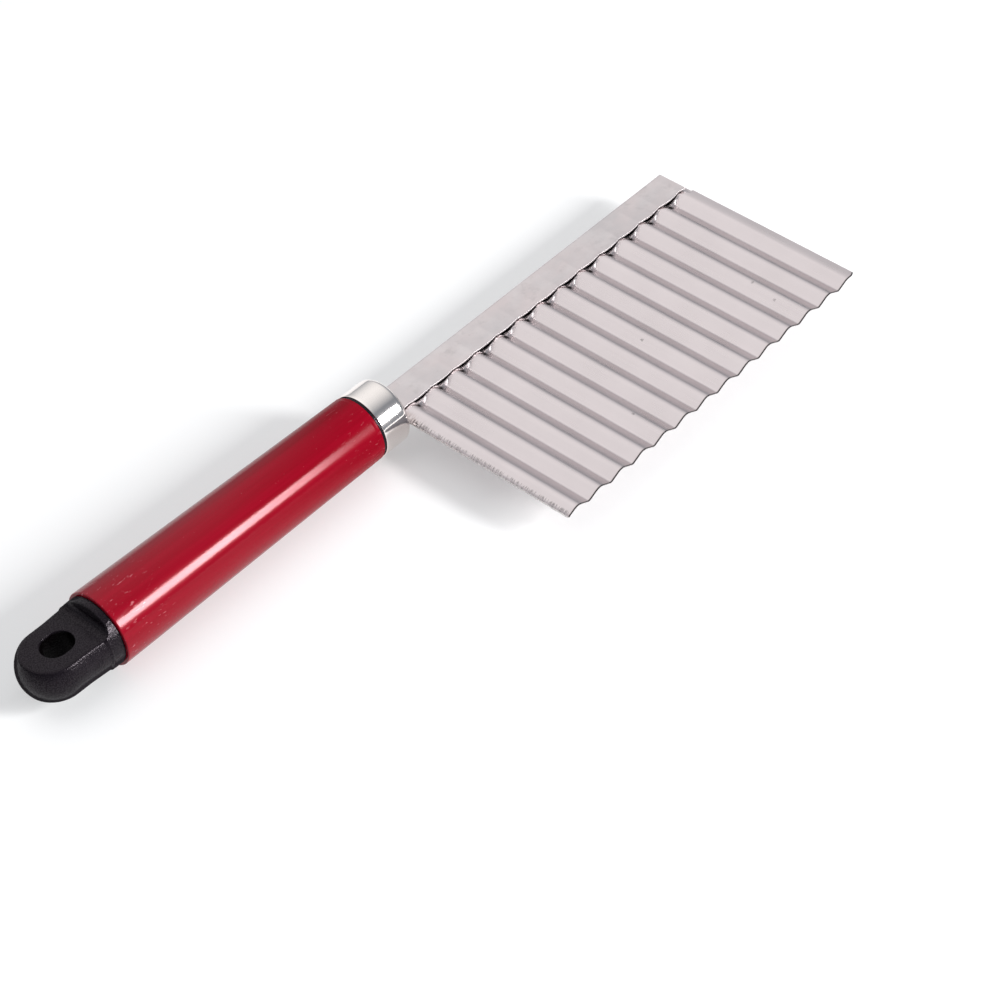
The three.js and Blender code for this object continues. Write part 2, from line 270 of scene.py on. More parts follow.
ferrule_low, ferrule_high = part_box("ferrule")
TOOL_ORIGIN = np.array([
    ferrule_high.x,
    (ferrule_low.y + ferrule_high.y) / 2,
    (ferrule_low.z + ferrule_high.z) / 2,
])


def to_row(points):
    """Points of the tool's frame, in millimetres, as points of the row's frame, in metres."""
    return np.asarray(points, float) * MM + TOOL_ORIGIN


def tool_box(node):
    """A solid's lowest and highest corner in the tool's frame, in millimetres."""
    low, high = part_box(node)
    return (np.array(low) - TOOL_ORIGIN) / MM, (np.array(high) - TOOL_ORIGIN) / MM


SHEET_LOW, SHEET_HIGH = tool_box("corrugated_blade")
CHANNEL_LOW, CHANNEL_HIGH = tool_box("spine_channel")
FERRULE_LOW, FERRULE_HIGH = tool_box("ferrule")
PLUG_LOW, PLUG_HIGH = tool_box("front_plug")
SLEEVE_LOW, SLEEVE_HIGH = tool_box("grip_sleeve")
CAP_LOW = tool_box("end_cap")[0]
COLLAR_REAR = SLEEVE_LOW[0] - COLLAR_LENGTH
LIP = CHANNEL_LOW[1]
FIRST_VALLEY = SHEET_LOW[0] - SHEET_TRIM
FLUTES = math.floor((SHEET_HIGH[0] - FIRST_VALLEY) / WAVE_PITCH + 0.5)
LAST_CREST = FIRST_VALLEY + WAVE_PITCH * (FLUTES - 0.5)


# Mesh tools

def smooth_step(share):
    """A share eased at both ends and held between 0 and 1."""
    share = np.clip(share, 0, 1)
    return share * share * (3 - 2 * share)


def ripple(x, y, wavelength, seed, waves=10):
    """A gentle random surface between about -1 and 1, the same on every run."""
    draw = np.random.default_rng(seed)
    total = np.zeros(np.broadcast(x, y).shape)
    for _ in range(waves):
        angle = draw.uniform(0, 2 * math.pi)
        turn = 2 * math.pi / (wavelength * draw.uniform(*RIPPLE_SPREAD))
        phase = draw.uniform(0, 2 * math.pi)
        total += np.cos(turn * (x * math.cos(angle) + y * math.sin(angle)) + phase)
    return total / math.sqrt(waves)


def arc_points(centre, radius, start, end, steps):
    """Points of an arc in a plane, both ends included, angles in degrees."""
    angles = np.radians(np.linspace(start, end, steps + 1))
    return [(centre[0] + radius * math.cos(a), centre[1] + radius * math.sin(a)) for a in angles]


def add_piece(name, points, faces, crease):
    """A smooth-shaded closed mesh with its faces turned out and its creases sharp."""
    mesh = bpy.data.meshes.new(name)
    mesh.from_pydata(to_row(points).tolist(), [], faces)
    shape = bmesh.new()
    shape.from_mesh(mesh)
    bmesh.ops.recalc_face_normals(shape, faces=shape.faces)
    shape.to_mesh(mesh)
    shape.free()
    mesh.shade_smooth()
    mesh.set_sharp_from_angle(angle=math.radians(crease))
    piece = bpy.data.objects.new(name, mesh)
    bpy.context.scene.collection.objects.link(piece)
    return piece


def add_shares(piece, name, shares):
    """A named share at each point, for the piece's material."""
    attribute = piece.data.attributes.new(name, "FLOAT", "POINT")
    attribute.data.foreach_set("value", np.asarray(shares, np.float32))


def bake_modifiers(piece, crease):
    """Makes a piece's modifiers part of its mesh."""
    depsgraph = bpy.context.evaluated_depsgraph_get()
    mesh = bpy.data.meshes.new_from_object(piece.evaluated_get(depsgraph))
    piece.modifiers.clear()
    piece.data = mesh
    mesh.shade_smooth()
    mesh.set_sharp_from_angle(angle=math.radians(crease))


def cut_away(piece, cutters, crease):
    """Takes the cutters' volume out of a piece, and the cutters out of the scene."""
    for cutter in cutters:
        cut = piece.modifiers.new("cut", "BOOLEAN")
        cut.operation = "DIFFERENCE"
        cut.solver = "EXACT"
        cut.object = cutter
    bake_modifiers(piece, crease)
    for cutter in cutters:
        bpy.data.objects.remove(cutter)


def dress(piece, node, slot, *materials):
    """Puts a finished piece in its solid's place."""
    while len(piece.data.materials):
        piece.data.materials.pop()
    for material in materials:
        piece.data.materials.append(material)
    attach(piece, "root")
    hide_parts(node)


def grid_faces(columns, rows, wrap_columns=False, wrap_rows=False):
    """Quads of a grid of points counted row by row within each column."""
    faces = []
    for i in range(columns if wrap_columns else columns - 1):
        for j in range(rows if wrap_rows else rows - 1):
            i2, j2 = (i + 1) % columns, (j + 1) % rows
            faces.append((i * rows + j, i2 * rows + j, i2 * rows + j2, i * rows + j2))
    return faces


def turned_points(profile, segments):
    """A profile of (radius, x) points turned about the handle's axis, column by column."""
    radius, x = np.array(profile).T
    angles = np.linspace(0, 2 * math.pi, segments, endpoint=False)
    points = np.empty((segments, len(radius), 3))
    points[..., 0] = x
    points[..., 1] = np.sin(angles)[:, None] * radius
    points[..., 2] = np.cos(angles)[:, None] * radius
    return points


def turned_solid(name, profile, segments, crease):
    """A closed solid of revolution whose profile leaves out its two end points on the axis."""
    points = turned_points(profile, segments)
    rows = len(profile)
    faces = grid_faces(segments, rows, wrap_columns=True)
    faces.append([i * rows for i in range(segments)])
    faces.append([i * rows + rows - 1 for i in range(segments)])
    return add_piece(name, points.reshape(-1, 3), faces, crease)


def box_piece(low, high):
    """A plain block, used as a cutter."""
    points = [(x, y, z) for x in (low[0], high[0]) for y in (low[1], high[1]) for z in (low[2], high[2])]
    faces = [(0, 1, 3, 2), (4, 6, 7, 5), (0, 4, 5, 1), (2, 3, 7, 6), (0, 2, 6, 4), (1, 5, 7, 3)]
    return add_piece("cutter", points, faces, crease=30)


# Blade

def wave_share(x):
    """The sheet's height along the blade as a share, 0 in a valley and 1 on a crest. It ends flatter."""
    half = WAVE_PITCH / 2
    along = (x - FIRST_VALLEY) % WAVE_PITCH
    from_valley = np.minimum(along, WAVE_PITCH - along)
    from_crest = half - from_valley
    height = from_valley.copy()
    in_valley = from_valley < VALLEY_ROUNDING
    height[in_valley] = (from_valley[in_valley] ** 2 + VALLEY_ROUNDING ** 2) / (2 * VALLEY_ROUNDING)
    on_crest = from_crest < CREST_ROUNDING
    height[on_crest] = half - (from_crest[on_crest] ** 2 + CREST_ROUNDING ** 2) / (2 * CREST_ROUNDING)
    lowest = VALLEY_ROUNDING / 2
    highest = half - CREST_ROUNDING / 2
    share = (height - lowest) / (highest - lowest)
    return np.where(x > LAST_CREST, 1 - FAR_FALL * (1 - share), share)


def past_crest(x):
    """Distance past the nearest crest, negative ahead of it."""
    return (x - FIRST_VALLEY) % WAVE_PITCH - WAVE_PITCH / 2


def strip_lean(x):
    """How far the strip has turned off the handle's line, towards its spine, at a place along it."""
    return STRIP_LEAN * np.clip(x - STRIP_PIVOT, 0, None)


def along_share(x):
    """How far along the blade a place is, from 0 at its near edge to 1 at its far edge."""
    return np.clip((x - SHEET_LOW[0]) / (SHEET_HIGH[0] - SHEET_LOW[0]), 0, 1)


def past_cusp(x):
    """Distance past the nearest place behind where a crest, leaning back, meets the lip."""
    return (past_crest(x) + PRESSED_LEAN * along_share(x)) % WAVE_PITCH


def crest_share(x):
    """1 where the lip rides on a crest, with a cusp there, and 0 where it sags into a valley."""
    return 1 - np.sin(math.pi * past_cusp(x) / WAVE_PITCH)


def lip_sag(x):
    """How far the strip's lip sags into the valleys at a place along the blade."""
    return LIP_SAG[0] + (LIP_SAG[1] - LIP_SAG[0]) * along_share(x)


def blade_stations():
    """Places along the blade, in step with its flutes and closer in the valleys and at the near edge."""
    even = np.arange(FIRST_VALLEY, SHEET_HIGH[0], WAVE_PITCH / STATIONS_PER_FLUTE)
    valleys = np.arange(FIRST_VALLEY, SHEET_HIGH[0], WAVE_PITCH)
    fine = valleys[:, None] + VALLEY_ROUNDING * np.array(VALLEY_STATIONS)
    x = np.unique(np.concatenate([even, fine.ravel()]).round(STATION_DIGITS))
    near = SHEET_LOW[0] + ROLL_WIDTH * np.array(NEAR_STATIONS)
    x = x[(x > near[-1] + STATION_GAP) & (x < SHEET_HIGH[0] - STATION_GAP)]
    return np.concatenate([near, x, [SHEET_HIGH[0]]])


def blade_rows(x):
    """Distances below the lip, from inside the channel down to the cutting edge, for every station."""
    depth = LIP + strip_lean(x) - SHEET_LOW[1] - EDGE_RISE * along_share(x)
    depth -= CORNER_RISE * np.clip(1 - (SHEET_HIGH[0] - x) / CORNER_LENGTH, 0, 1) ** 2
    held = np.linspace(LIP - SHEET_HIGH[1], 0, HELD_ROWS)
    pressed = np.arange(PRESSED_ROW_STEP, PRESSED_ROWS_END, PRESSED_ROW_STEP)
    from_edge = np.array([BEVEL_WIDTH, *BEVEL_ROWS, 2 * EDGE_LINE, EDGE_LINE, 0])
    middle = np.linspace(0, 1, MIDDLE_ROWS, endpoint=False)
    rows = [np.full_like(x, d) for d in np.concatenate([held, pressed])]
    rows += [PRESSED_ROWS_END + (depth - BEVEL_WIDTH - PRESSED_ROWS_END) * share for share in middle]
    rows += [depth - e for e in from_edge]
    thickness = np.full(len(rows), SHEET_THICKNESS)
    thickness[-len(from_edge):] -= (SHEET_THICKNESS - EDGE_THICKNESS) * (1 - from_edge / BEVEL_WIDTH)
    return np.stack(rows, 1), thickness


def sheet_height(x, below):
    """Height of the sheet's middle surface: flutes, pressed flatter under the lip, dented and rolled over."""
    flute = np.repeat(wave_share(x)[:, None], below.shape[1], 1)
    full = WAVE_HEIGHT * (flute - 0.5)
    fall = 1 - np.interp(past_cusp(x), PRESSED_PLACES, PRESSED_SHARES)
    pressed = (PRESSED_CREST - np.interp(x, PRESSED_STATIONS, PRESSED_HEIGHTS) * fall)[:, None]
    tuck = np.interp(past_crest(x), TUCK_PLACES, TUCK_DEPTHS)[:, None]
    slope = np.interp(past_crest(x), TUCK_PLACES, TUCK_SLOPES)[:, None]
    height = pressed + (full - pressed) * smooth_step((below - tuck) / (2 * slope) + 0.5)
    x = x[:, None]
    along = x - SHEET_LOW[0]
    height += DENT_HEIGHT * ripple(x, below, *DENT_RIPPLE)
    corner = np.exp(-(along / CRUMPLE_REACH[0]) ** 2 - (below / CRUMPLE_REACH[1]) ** 2)
    height += CRUMPLE_HEIGHT * corner * ripple(x, below, *CRUMPLE_RIPPLE)
    height += BURR_HEIGHT * np.exp(-(along / BURR_WIDTH) ** 2) * ripple(x * 0, below, *BURR_RIPPLE)
    height -= ROLL_DROP * np.exp(-(along / ROLL_WIDTH) ** 2)
    return height


def sheet_painted_shade(x, below):
    """Share of painted shade under the lip and inside the channel, and of painted dark reflection on the
    cutting edge and in a spot at the end of every wedge.
    """
    crest = crest_share(x)[:, None]
    brink = lip_sag(x)[:, None] * (1 - crest) + SHADE_SHOWN - SHADE_HELD * crest
    painted_shade = smooth_step((brink - below) / SHADE_BLUR) * (x < CHANNEL_HIGH[0] - SHADE_INSET)[:, None]
    # Painted dark reflection along the cutting edge and in a spot past each wedge
    edge = below >= below[:, -1:] - EDGE_SLACK * EDGE_LINE
    off = past_crest(x)[:, None]
    spot = np.exp(-((off - WEDGE_END[0]) / SPOT_SIZE[0]) ** 2 - ((below - WEDGE_END[1]) / SPOT_SIZE[1]) ** 2)
    spot *= ((SPOT_SHARES[0] + SPOT_SHARES[1] * along_share(x)) * (x < LAST_CREST))[:, None]
    return np.clip(painted_shade + edge + spot, 0, 1)


def sheet_painted_reflection(x, below):
    """Share of a painted dark brown reflection in a wedge from the lip down the far side of every pressed
    crest.
    """
    off = past_crest(x)[:, None]
    start = WEDGE_START[0] - PRESSED_LEAN * along_share(x)[:, None]
    across = WEDGE_END[0] - start
    down = WEDGE_END[1] - WEDGE_START[1]
    share = np.clip((off - start) / across, 0, 1)
    away = np.hypot(off - start - share * across, below - WEDGE_START[1] - share * down)
    width = WEDGE_WIDTHS[0] + (WEDGE_WIDTHS[1] - WEDGE_WIDTHS[0]) * share
    return np.exp(-(away / width) ** 2) * (x < LAST_CREST)[:, None]


def sheet_tears(x, below):
    """Share of torn and scraped steel along the near edge and most of all at its upper corner."""
    along = (x - SHEET_LOW[0])[:, None]
    reach, height, depth = TORN_CORNER
    torn = np.exp(-(along / reach) ** 2 - ((below - depth) / height) ** 2)
    for place, width, share in TORN_LINES:
        torn += share * np.exp(-((along - place) / width) ** 2)
    return np.clip(torn, 0, 1)


def blade_sheet():
    """The fluted sheet as two grids, upper and lower, closed by a rim, with the shares that mark its wear,
    its painted shade and its painted dark reflections.
    """
    x = blade_stations()
    below, thickness = blade_rows(x)
    height = sheet_height(x, below)
    columns, rows = below.shape
    y = (LIP + strip_lean(x))[:, None] - below
    upper = np.stack([np.repeat(x[:, None], rows, 1), y, height + SHEET_THICKNESS / 2], 2)
    lower = upper.copy()
    lower[..., 2] -= thickness
    count = columns * rows
    faces = grid_faces(columns, rows)
    faces += [tuple(v + count for v in face) for face in faces]
    last = count - rows
    for j in range(rows - 1):
        faces.append((j, j + 1, count + j + 1, count + j))
        faces.append((last + j, last + j + 1, count + last + j + 1, count + last + j))
    for i in range(columns - 1):
        for j in (0, rows - 1):
            a, b = i * rows + j, (i + 1) * rows + j
            faces.append((a, b, count + b, count + a))
    points = np.concatenate([upper.reshape(-1, 3), lower.reshape(-1, 3)])
    sheet = add_piece("blade_sheet", points, faces, SHEET_CREASE)
    rim = np.zeros(len(faces), int)
    rim[2 * (columns - 1) * (rows - 1):] = 1
    sheet.data.polygons.foreach_set("material_index", rim)
    # Marks: painted shade and painted dark reflections, the wedges of painted dark reflection, the tears and
    # the pressed zone
    marks = {
        "painted_shade": sheet_painted_shade(x, below),
        "torn": sheet_tears(x, below),
        "stain": sheet_painted_reflection(x, below),
        "pressed": np.exp(-(below / PRESSED_REACH) ** 2),
    }
    for name, shares in marks.items():
        add_shares(sheet, name, np.tile(shares.ravel(), 2))
    return sheet


# Spine channel

def channel_section():
    """The folded strip's section as (y, z) points."""
    outer = CHANNEL_HIGH[2]
    inner = outer - CHANNEL_WALL
    back = CHANNEL_HIGH[1]
    bend = back - FOLD_RADIUS
    r = LIP_ROUNDING
    leaf = np.linspace(LIP + r, bend, LEAF_POINTS)[1:-1]
    half = [(y, outer) for y in leaf]
    half += arc_points((bend, outer - FOLD_RADIUS), FOLD_RADIUS, 90, 0, steps=8)
    inside = arc_points((bend, inner - INNER_FOLD_RADIUS), INNER_FOLD_RADIUS, 0, 90, steps=3)
    inside += [(y, inner) for y in leaf[::-1]]
    inside += arc_points((LIP + r, inner + r), r, 270, 180, steps=3)
    inside += arc_points((LIP + r, outer - r), r, 180, 90, steps=3)
    mirrored = [(y, -z) for y, z in half[::-1]]
    inside_mirrored = [(y, -z) for y, z in inside[::-1]]
    return np.array(half + mirrored + inside_mirrored + inside)


def spine_strip():
    """The folded strip, leaning off the handle's line, with a lip that sags between the crests."""
    section = channel_section()
    hidden = np.linspace(CHANNEL_LOW[0], TANG_FRONT, TANG_STATIONS)
    shown = np.arange(FIRST_VALLEY, CHANNEL_HIGH[0] - STATION_GAP, WAVE_PITCH / STATIONS_PER_FLUTE)
    x = np.concatenate([hidden, shown, [CHANNEL_HIGH[0]]])
    points = np.empty((len(x), len(section), 3))
    points[..., 0] = x[:, None]
    points[..., 1] = section[:, 0]
    points[..., 2] = section[:, 1]
    near_lip = np.clip(section[:, 0] / LIP, 0, 1) ** 2
    free = smooth_step(x / FREE_LENGTH)[:, None]
    points[..., 1] += strip_lean(x)[:, None] - free * near_lip * (lip_sag(x) * (1 - crest_share(x)))[:, None]
    points[..., 2] += LEAF_HEIGHT * free * ripple(x[:, None], section[:, 0][None, :], *LEAF_RIPPLE)
    bulge = LEAF_BULGE * free * np.sign(section[:, 1]) * np.clip(1 - section[:, 0] / CHANNEL_HIGH[1], 0, 1)
    points[..., 2] += bulge * crest_share(x)[:, None] ** 2
    faces = grid_faces(len(x), len(section), wrap_rows=True)
    faces.append(list(range(len(section))))
    faces.append([(len(x) - 1) * len(section) + j for j in range(len(section))])
    strip = add_piece("spine_strip", points.reshape(-1, 3), faces, STRIP_CREASE)
    # Painted shade: the faces inside the fold are marked to be darkened
    inside = np.abs(section[:, 1]) < CHANNEL_HIGH[2] - CHANNEL_WALL + INSIDE_MARGIN
    inside &= section[:, 0] > LIP + 2 * LIP_ROUNDING
    inside &= section[:, 0] < CHANNEL_HIGH[1] - CHANNEL_WALL + INSIDE_MARGIN
    add_shares(strip, "painted_shade", np.tile(inside, len(x)))
    add_shares(strip, "lip", np.tile(np.exp(-((section[:, 0] - LIP) / LIP_REACH) ** 2), len(x)))
    return strip


# Handle

def channel_slot(back):
    """A cutter for the tang, from a place in the handle to just ahead of the ferrule's face."""
    half_width = CHANNEL_HIGH[1] + SLOT_CLEARANCE
    half_height = CHANNEL_HIGH[2] + SLOT_CLEARANCE
    return box_piece((back, -half_width, -half_height), (SLOT_FRONT, half_width, half_height))


def ferrule_cup():
    """The ferrule: a cup with a rounded front edge, slotted for the tang."""
    radius = FERRULE_HIGH[2]
    rear = FERRULE_LOW[0]
    inner = radius - FERRULE_WALL
    edge, rear_edge = FERRULE_EDGE, FERRULE_REAR_EDGE
    inner_edge = edge - FERRULE_WALL
    front_arc = arc_points((0, 0), edge, 90, 0, steps=10)
    inner_arc = arc_points((0, 0), inner_edge, 0, 90, steps=4)
    profile = [(r, 0) for r in np.linspace(CORE_RADIUS, radius - edge, FACE_RINGS)[:-1]]
    profile += [(radius - edge + r, x - edge) for r, x in front_arc]
    profile += [(radius, x) for x in np.linspace(-edge, rear + rear_edge, WALL_RINGS)[1:-1]]
    profile += arc_points((radius - rear_edge, rear + rear_edge), rear_edge, 0, -90, steps=3)
    profile += [(inner, rear)]
    profile += [(inner - inner_edge + r, x - FERRULE_WALL - inner_edge) for r, x in inner_arc]
    profile += [(CORE_RADIUS, -FERRULE_WALL)]
    cup = turned_solid("ferrule_cup", profile, TURN_SEGMENTS, TURN_CREASE)
    cut_away(cup, [channel_slot(-FERRULE_WALL - SLOT_OVERRUN)], TURN_CREASE)
    return cup


def front_ring():
    """The plug: nose in the ferrule, flange as the dark ring, shank in the tube."""
    flange_front = FERRULE_LOW[0]
    flange_rear = flange_front - FLANGE_THICKNESS
    radius = FERRULE_HIGH[2] - FLANGE_RECESS
    nose = FERRULE_HIGH[2] - FERRULE_WALL - PLUG_CLEARANCE
    nose_front = PLUG_HIGH[0]
    shank = nose - TUBE_WALL
    r = FLANGE_EDGE
    profile = [(CORE_RADIUS, nose_front), (nose - NOSE_CHAMFER, nose_front)]
    profile += [(nose, nose_front - NOSE_CHAMFER), (nose, flange_front)]
    profile += arc_points((radius - r, flange_front - r), r, 90, 0, steps=3)
    profile += arc_points((radius - r, flange_rear + r), r, 0, -90, steps=3)
    profile += [(shank, flange_rear), (shank, PLUG_LOW[0]), (CORE_RADIUS, PLUG_LOW[0])]
    ring = turned_solid("front_ring", profile, TURN_SEGMENTS, TURN_CREASE)
    cut_away(ring, [channel_slot(CHANNEL_LOW[0] - SLOT_CLEARANCE)], TURN_CREASE)
    return ring


def grip_sleeve():
    """The sleeve's film, tapered towards the front and turned in over both ends of the tube."""
    front, rear = SLEEVE_HIGH[0], SLEEVE_LOW[0]
    front_radius, rear_radius = FERRULE_HIGH[2], SLEEVE_HIGH[2]

    def outside(x):
        return front_radius + (rear_radius - front_radius) * (front - x) / (front - rear)

    bore = TUBE_WALL + TUBE_GAP + SLEEVE_THICKNESS
    e = SLEEVE_EDGE
    rear_end, front_end = rear + FILM_FINE_LENGTHS[0], front - FILM_FINE_LENGTHS[1]
    fine_step, coarse_step = FILM_STEPS
    fine_rear = np.arange(rear + e, rear_end, fine_step)
    coarse = np.arange(rear_end, front_end, coarse_step)
    fine_front = np.arange(front_end, front - e, fine_step)
    along = np.concatenate([fine_rear, coarse, fine_front])[::-1]
    profile = [(outside(front) - bore, front)]
    profile += [(r + outside(front) - e, x + front - e) for r, x in arc_points((0, 0), e, 90, 0, steps=5)]
    first = len(profile)
    profile += [(outside(x), x) for x in along[1:-1]]
    last = len(profile)
    profile += [(r + outside(rear) - e, x + rear + e) for r, x in arc_points((0, 0), e, 0, -90, steps=5)]
    profile += [(outside(rear) - bore, rear), (outside(rear) - bore, rear + SLEEVE_THICKNESS)]
    profile += [(outside(rear) - SLEEVE_THICKNESS, rear + SLEEVE_THICKNESS)]
    profile += [(outside(front) - SLEEVE_THICKNESS, front - SLEEVE_THICKNESS)]
    profile += [(outside(front) - bore, front - SLEEVE_THICKNESS)]
    points = turned_points(profile, FILM_SEGMENTS)
    x = points[0, first:last, 0][None, :]
    around = (np.arange(FILM_SEGMENTS) / FILM_SEGMENTS)[:, None]
    lift = film_wrinkles(x, around * 2 * math.pi, front, rear)
    radius = np.hypot(points[:, first:last, 1], points[:, first:last, 2])
    points[:, first:last, 1:] *= ((radius + lift) / radius)[..., None]
    faces = grid_faces(FILM_SEGMENTS, len(profile), wrap_columns=True, wrap_rows=True)
    return add_piece("grip_film", points.reshape(-1, 3), faces, FILM_CREASE)


def film_wrinkles(x, angle, front, rear):
    """Lift of the sleeve's film: a step down at its turned-in front end and short folds near its rear end."""
    lift = -FILM_STEP * smooth_step((x - front + FILM_TURN) / FILM_TURN_BLUR) * np.ones_like(angle)
    draw = np.random.default_rng(WRINKLE_SEED)
    for _ in range(WRINKLE_COUNT):
        place = rear + draw.uniform(*WRINKLE_PLACES)
        turn = draw.uniform(0, 2 * math.pi)
        slant = draw.uniform(*WRINKLE_SLANTS)
        length = draw.uniform(*WRINKLE_LENGTHS)
        depth = draw.uniform(*WRINKLE_DEPTHS)
        side = ((angle - turn + math.pi) % (2 * math.pi) - math.pi) * WRINKLE_RADIUS
        run = (x - place) * math.cos(slant) + side * math.sin(slant)
        off = -(x - place) * math.sin(slant) + side * math.cos(slant)
        lift = lift - depth * np.exp(-(run / length) ** 2 - (off / WRINKLE_WIDTH) ** 2)
    return lift


def end_cap():
    """The cap's solid with its moulded edges softened."""
    cap = bpy.data.objects.new("cap_moulding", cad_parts["end_cap"].data.copy())
    bpy.context.scene.collection.objects.link(cap)
    weld = cap.modifiers.new("weld", "WELD")
    weld.merge_threshold = CAP_WELD * MM
    voxels = cap.modifiers.new("voxels", "REMESH")
    voxels.mode = "VOXEL"
    voxels.voxel_size = CAP_VOXEL * MM
    soften = cap.modifiers.new("soften", "SMOOTH")
    soften.factor = CAP_SMOOTHING_SHARE
    soften.iterations = CAP_SMOOTHING
    bake_modifiers(cap, CAP_CREASE)
    count = len(cap.data.vertices)
    points = np.empty(3 * count)
    cap.data.vertices.foreach_get("co", points)
    points = points.reshape(-1, 3)
    x = (points[:, 0] - TOOL_ORIGIN[0]) / MM
    share = smooth_step((x - COLLAR_REAR) / CAP_FLARE_LENGTH + 1)
    share *= smooth_step((COLLAR_REAR + CAP_FLARE_FADE - x) / CAP_FLARE_FADE)
    y = points[:, 1] - TOOL_ORIGIN[1]
    points[:, 1] += y * share * CAP_FLARE * MM / np.abs(y).max()
    cap.data.vertices.foreach_set("co", points.ravel())
    # Painted shade: shares that darken the eye's bore, leaving its rim
    brim = CAP_TONGUE / 2 - EYE_RIM
    off = np.hypot((x - CAP_LOW[0] - EYE_INSET) / EYE_REACH[0], y / MM / EYE_REACH[1])
    height = np.abs(points[:, 2] - TOOL_ORIGIN[2]) / MM
    add_shares(cap, "bore", (off < 1) * smooth_step((brim - height) / EYE_DEPTH))
    return cap


# Materials

def new_paint(name, metallic=0.0):
    """A material with its node tree, its shader and the places, in metres, that its textures take."""
    material = bpy.data.materials.new(name)
    material.use_nodes = True
    tree = material.node_tree
    place = tree.nodes.new("ShaderNodeTexCoord").outputs["Object"]
    shader = tree.nodes["Principled BSDF"]
    shader.inputs["Metallic"].default_value = metallic
    return material, tree, shader, place


def node(tree, kind, output, inputs, **settings):
    """A node with its settings and its inputs, given as values or as sockets to join. Returns one output."""
    made = tree.nodes.new(kind)
    for key, value in settings.items():
        setattr(made, key, value)
    for key, value in inputs.items():
        if isinstance(value, bpy.types.NodeSocket):
            tree.links.new(value, made.inputs[key])
        else:
            made.inputs[key].default_value = value
    return made.outputs[output]


def noise(tree, place, scale, detail, roughness=0.55):
    """Noise between 0 and 1, with its scale in cells in a metre."""
    inputs = {"Vector": place, "Scale": scale, "Detail": detail, "Roughness": roughness}
    return node(tree, "ShaderNodeTexNoise", "Fac", inputs)


def stretched(tree, place, scale):
    """Places scaled by axis, for a noise of scale 1."""
    return node(tree, "ShaderNodeMapping", "Vector", {"Vector": place, "Scale": scale})


def spread(tree, value, low, high, to_low, to_high):
    """A value's range from low to high carried over to another range, and held at its ends."""
    inputs = {"Value": value, "From Min": low, "From Max": high, "To Min": to_low, "To Max": to_high}
    return node(tree, "ShaderNodeMapRange", "Result", inputs)


def mixed(tree, share, first, second):
    """A colour between two, by a share."""
    return node(tree, "ShaderNodeMix", 2, {0: share, 6: first, 7: second}, data_type="RGBA")


def toned(tree, value, low, high, tones):
    """The first tone where a value is low, the second where it is high."""
    return mixed(tree, spread(tree, value, low, high, 0, 1), *tones)


def combined(tree, operation, first, second):
    return node(tree, "ShaderNodeMath", 0, {0: first, 1: second}, operation=operation)


def bumped(tree, height, distance, strength):
    """Normals bent by a height, with the distance in metres that a height of 1 stands for."""
    inputs = {"Height": height, "Distance": distance, "Strength": strength}
    return node(tree, "ShaderNodeBump", "Normal", inputs)


def join(tree, shader, **sockets):
    for key, value in sockets.items():
        tree.links.new(value, shader.inputs[key.replace("_", " ")])


def shares_of(tree, name):
    return node(tree, "ShaderNodeAttribute", "Fac", {}, attribute_name=name)


def edge_on(tree, span, before, beyond):
    """One value before a span of angles from facing the viewer to edge-on, and another beyond it."""
    turned = node(tree, "ShaderNodeLayerWeight", "Facing", {"Blend": 0.5})
    return spread(tree, turned, *span, before, beyond)


def sheet_steel():
    """Satin rolled steel with die lines along the flutes, mottling, pits, painted shade and dark reflections,
    and a torn near edge.
    """
    material, tree, shader, place = new_paint("sheet_steel", metallic=1.0)
    mottle = noise(tree, place, 70.0, 4.0)
    lines = noise(tree, stretched(tree, place, (1600.0, 18.0, 300.0)), 1.0, 3.0)
    grain = noise(tree, place, 2600.0, 2.0)
    colour = toned(tree, mottle, 0.3, 0.7, SHEET_TONES)
    cell = tree.nodes.new("ShaderNodeTexVoronoi")
    cell.voronoi_dimensions = "2D"
    cell.inputs["Scale"].default_value = PIT_CELLS
    tree.links.new(place, cell.inputs["Vector"])
    ragged = combined(tree, "ADD", cell.outputs["Distance"], spread(tree, grain, 0.3, 0.7, -0.03, 0.03))
    pit = spread(tree, ragged, 0.02, 0.06, 0.7, 0)
    pit = combined(tree, "MULTIPLY", pit, combined(tree, "GREATER_THAN", cell.outputs["Color"], PIT_KEPT))
    colour = mixed(tree, pit, colour, PIT_TONE)
    # Painted dark reflection in the wedges, carried by the stain shares
    colour = mixed(tree, shares_of(tree, "stain"), colour, WEDGE_REFLECTION_TONE)
    marks = noise(tree, stretched(tree, place, (500.0, 2400.0, 500.0)), 1.0, 2.0)
    torn = combined(tree, "MULTIPLY", shares_of(tree, "torn"), spread(tree, marks, 0.46, 0.6, 0, 0.75))
    # Tears, painted shade and painted dark reflections share one near-black tone
    tears_and_shade = combined(tree, "MAXIMUM", torn, shares_of(tree, "painted_shade"))
    colour = mixed(tree, tears_and_shade, colour, TEAR_AND_SHADE_TONE)
    rough = spread(tree, combined(tree, "ADD", lines, mottle), 0.6, 1.4, 0.24, 0.36)
    rough = combined(tree, "MAXIMUM", rough, spread(tree, shares_of(tree, "pressed"), 0, 1, 0.2, 0.38))
    height = combined(tree, "SUBTRACT", combined(tree, "ADD", lines, grain), pit)
    join(tree, shader, Base_Color=colour, Roughness=rough, Normal=bumped(tree, height, 0.00001, 0.5))
    return material


def sheared_steel():
    """Cut rim of the sheet, with shear marks through its thickness."""
    material, tree, shader, place = new_paint("sheared_steel", metallic=1.0)
    torn = noise(tree, stretched(tree, place, (300.0, 2200.0, 300.0)), 1.0, 3.0)
    colour = toned(tree, torn, 0.35, 0.65, SHEARED_TONES)
    rough = spread(tree, torn, 0.3, 0.7, 0.35, 0.6)
    join(tree, shader, Base_Color=colour, Roughness=rough, Normal=bumped(tree, torn, 0.00003, 0.6))
    return material


